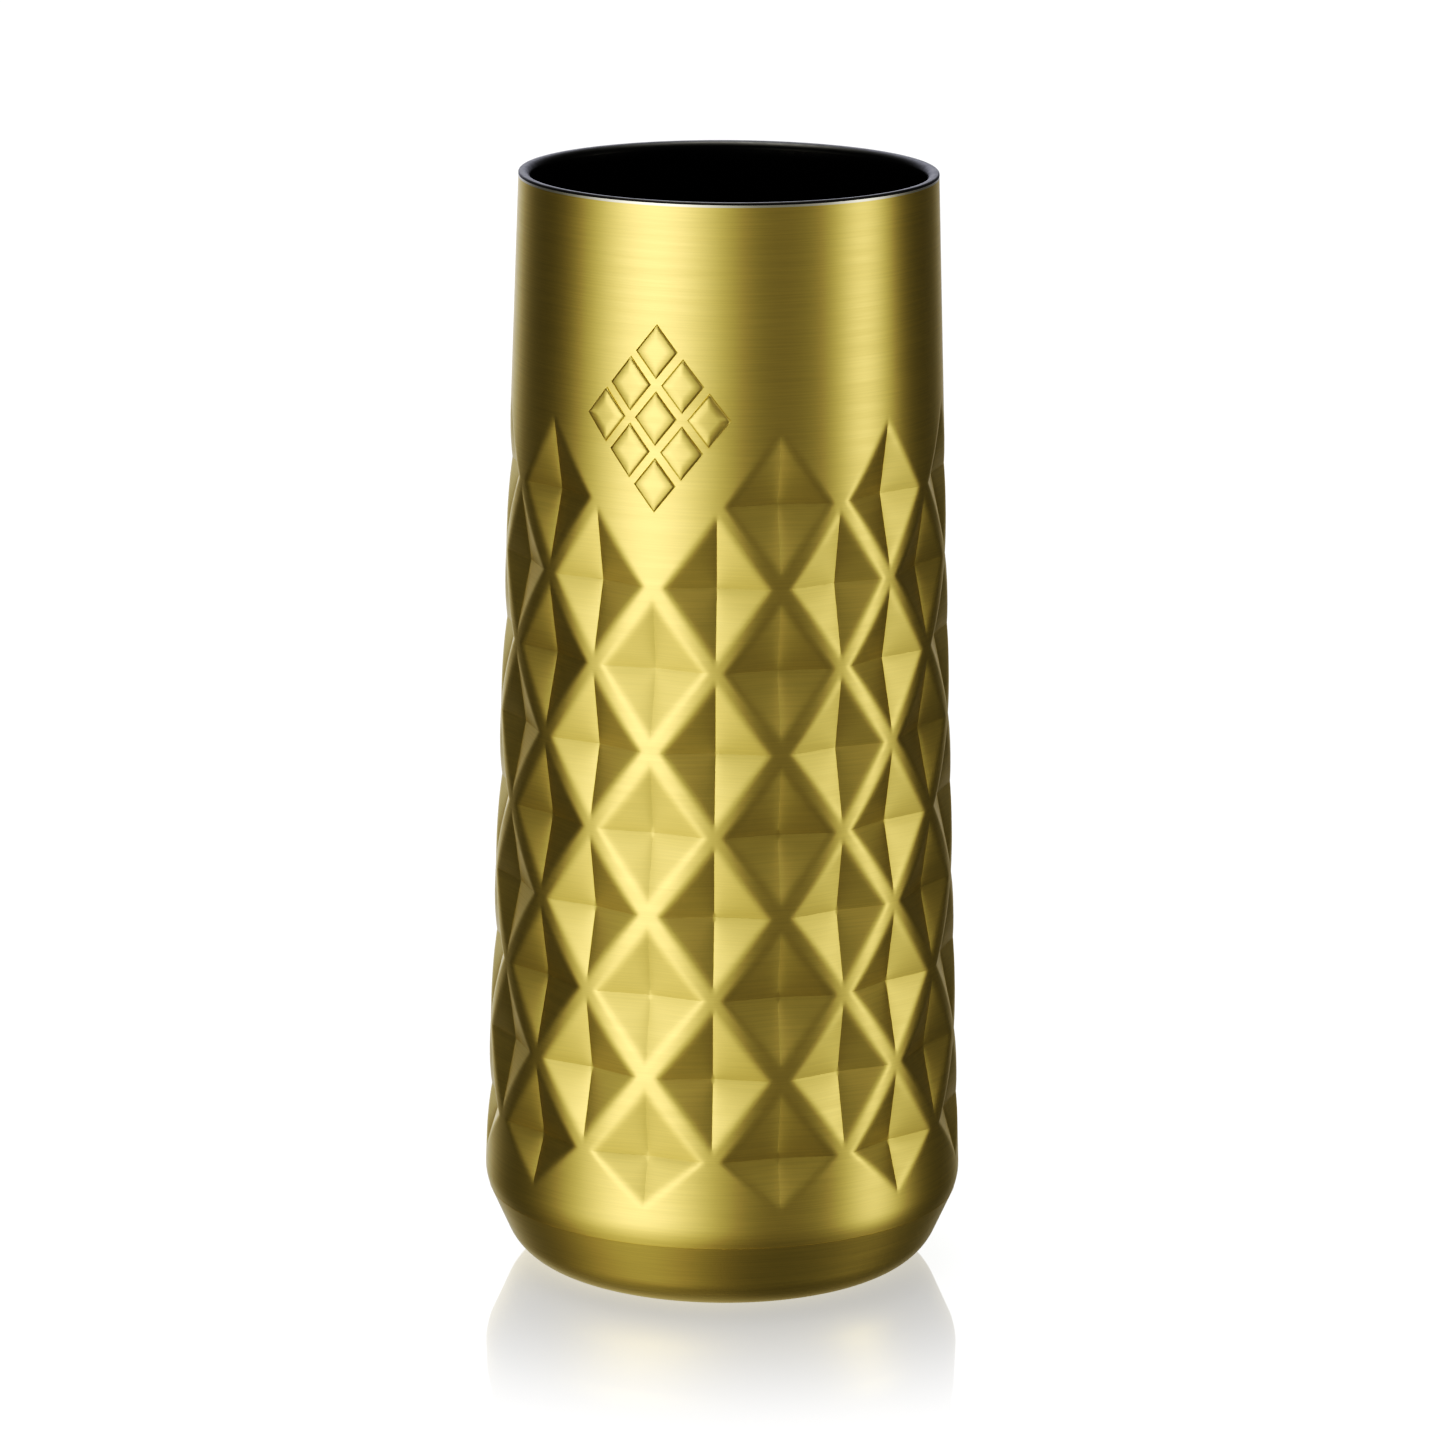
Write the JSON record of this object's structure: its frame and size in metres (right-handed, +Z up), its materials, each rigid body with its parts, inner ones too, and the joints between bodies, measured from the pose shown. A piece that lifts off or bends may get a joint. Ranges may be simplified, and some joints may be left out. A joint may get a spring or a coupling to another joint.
{
  "type": "insulated tumbler",
  "caption": "Double-wall insulated tumbler: tapered brushed gold steel shell pressed with a diamond dent lattice, glossy black inner vessel with a flat lip, and a rounded base cap.",
  "frame": {"origin": "middle of the foot, on the surface that the tumbler stands on", "axes": "+Z up along the tumbler's axis, -Y towards the side with the raised emblem, +X to the right seen from that side"},
  "size_m": [0.0802, 0.0802, 0.185],
  "materials": {
    "gold_steel": "gold-coloured, fine brushing around the body",
    "black_lining": "high gloss",
    "copper": "bright foil",
    "bare_steel": "satin, as drawn",
    "glass_solder": "fused, glossy",
    "getter_alloy": "pressed powder"
  },
  "bodies": {
    "root": {"outer_shell": "gold_steel", "base_cover": "gold_steel", "inner_tube": "black_lining", "inner_bottom": "black_lining", "copper_foil": "copper", "vacuum_bottom": "bare_steel", "sealing_bead": "glass_solder", "getter": "getter_alloy", "getter_clip": "bare_steel"}
  },
  "joints": []
}
